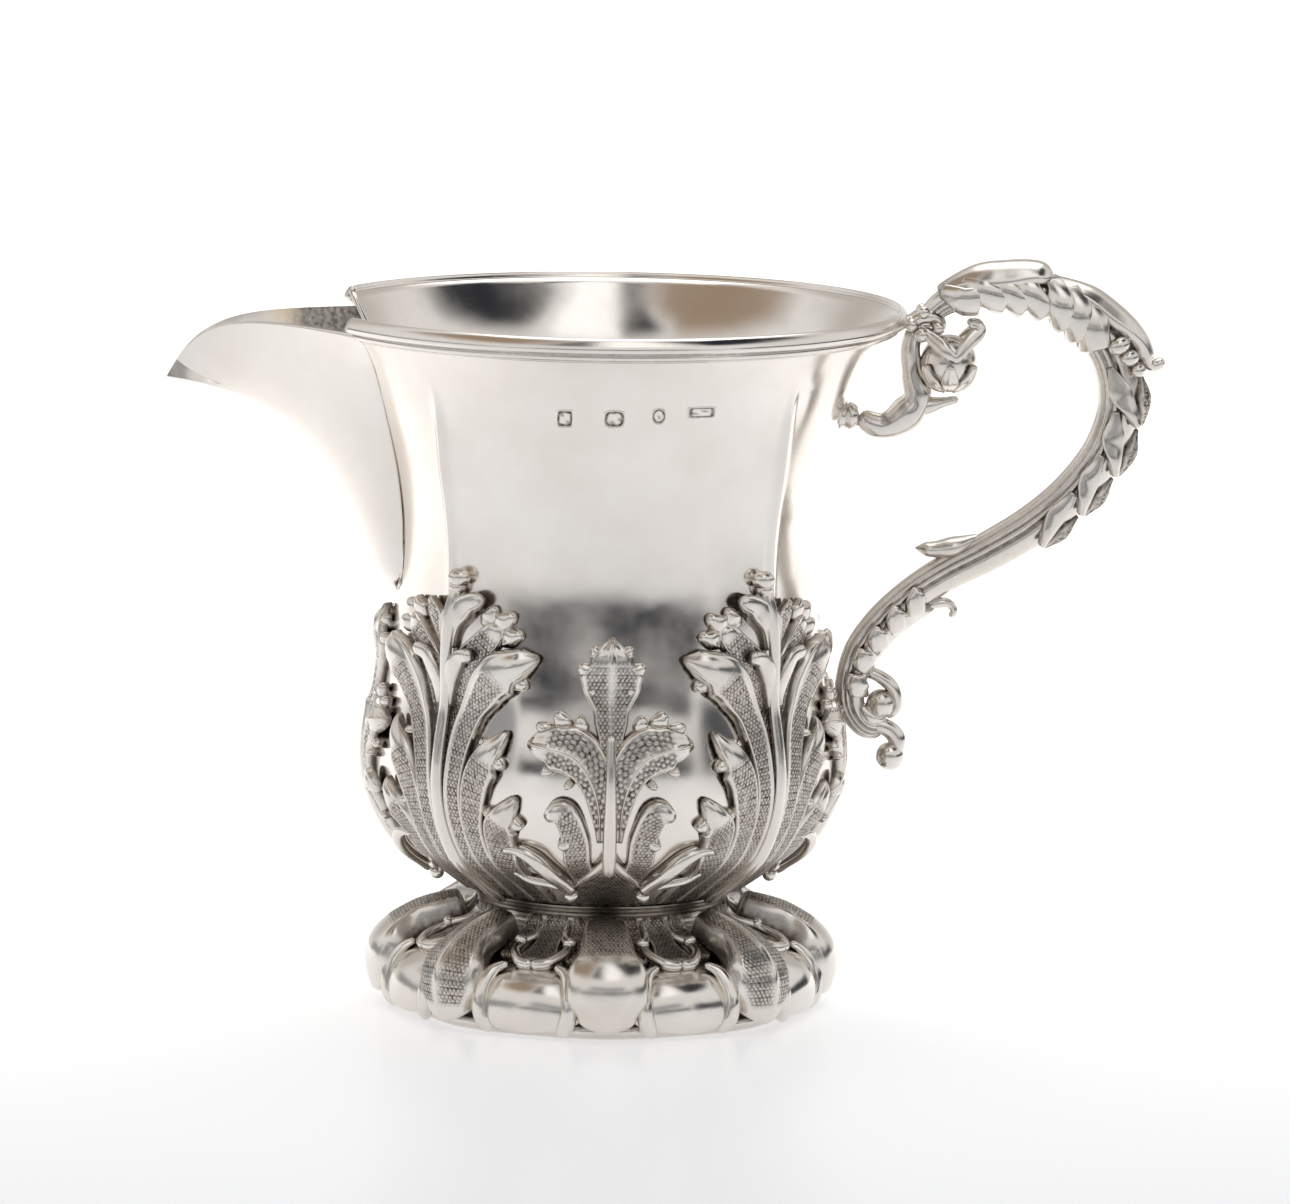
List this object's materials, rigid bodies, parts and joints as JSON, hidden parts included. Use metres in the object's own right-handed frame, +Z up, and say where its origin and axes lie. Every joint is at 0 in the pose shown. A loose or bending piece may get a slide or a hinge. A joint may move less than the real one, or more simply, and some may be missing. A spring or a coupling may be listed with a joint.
{
  "type": "cream jug",
  "caption": "Silver cream jug: bell body with ridges, long soldered spout, applied rim moulding, acanthus leaves round the bowl, spreading petal foot and leafy scroll handle.",
  "frame": {"origin": "bottom centre of the jug's bounding box", "axes": "+Z up out of the mouth; +X towards the handle, so the spout points to -X; the front, with the hallmarks, faces -Y"},
  "size_m": [0.1426, 0.0856, 0.1081],
  "materials": {
    "polished_silver": "polished silver with a faint warm patina",
    "cast_silver": "cast and chased silver, darker in the recesses",
    "matted_silver": "matted and chased silver with dark recesses"
  },
  "bodies": {
    "root": {"body_shell": "polished_silver", "spout": "polished_silver", "rim_moulding": "polished_silver", "leaf_front_right": "cast_silver", "leaf_back_right": "cast_silver", "leaf_back_left": "cast_silver", "leaf_front_left": "cast_silver", "palmette_front": "cast_silver", "palmette_handle": "cast_silver", "palmette_back": "cast_silver", "palmette_spout": "cast_silver", "scroll_front_1": "cast_silver", "scroll_front_2": "cast_silver", "scroll_handle_1": "cast_silver", "scroll_handle_2": "cast_silver", "scroll_back_1": "cast_silver", "scroll_back_2": "cast_silver", "scroll_spout_1": "cast_silver", "scroll_spout_2": "cast_silver", "foot_shell": "matted_silver", "foot_ring": "polished_silver", "foot_petal_1": "cast_silver", "foot_petal_2": "cast_silver", "foot_petal_3": "cast_silver", "foot_petal_4": "cast_silver", "foot_petal_5": "cast_silver", "foot_petal_6": "cast_silver", "foot_petal_7": "cast_silver", "foot_petal_8": "cast_silver", "foot_tongue_1": "cast_silver", "foot_tongue_2": "cast_silver", "foot_tongue_3": "cast_silver", "foot_tongue_4": "cast_silver", "foot_tongue_5": "cast_silver", "foot_tongue_6": "cast_silver", "foot_tongue_7": "cast_silver", "foot_tongue_8": "cast_silver", "handle_stem": "cast_silver", "handle_top_leaf": "cast_silver", "handle_crown_leaf": "cast_silver", "handle_spur": "cast_silver", "handle_husk_1": "cast_silver", "handle_husk_2": "cast_silver", "handle_husk_3": "cast_silver", "handle_husk_4": "cast_silver", "handle_thorn": "cast_silver", "handle_lower_leaf": "cast_silver", "handle_volute": "cast_silver", "handle_tail": "cast_silver", "handle_bud": "cast_silver", "handle_branch": "cast_silver", "handle_rim_leaf": "cast_silver", "handle_upper_collar": "cast_silver", "handle_lower_collar": "cast_silver"}
  },
  "joints": []
}
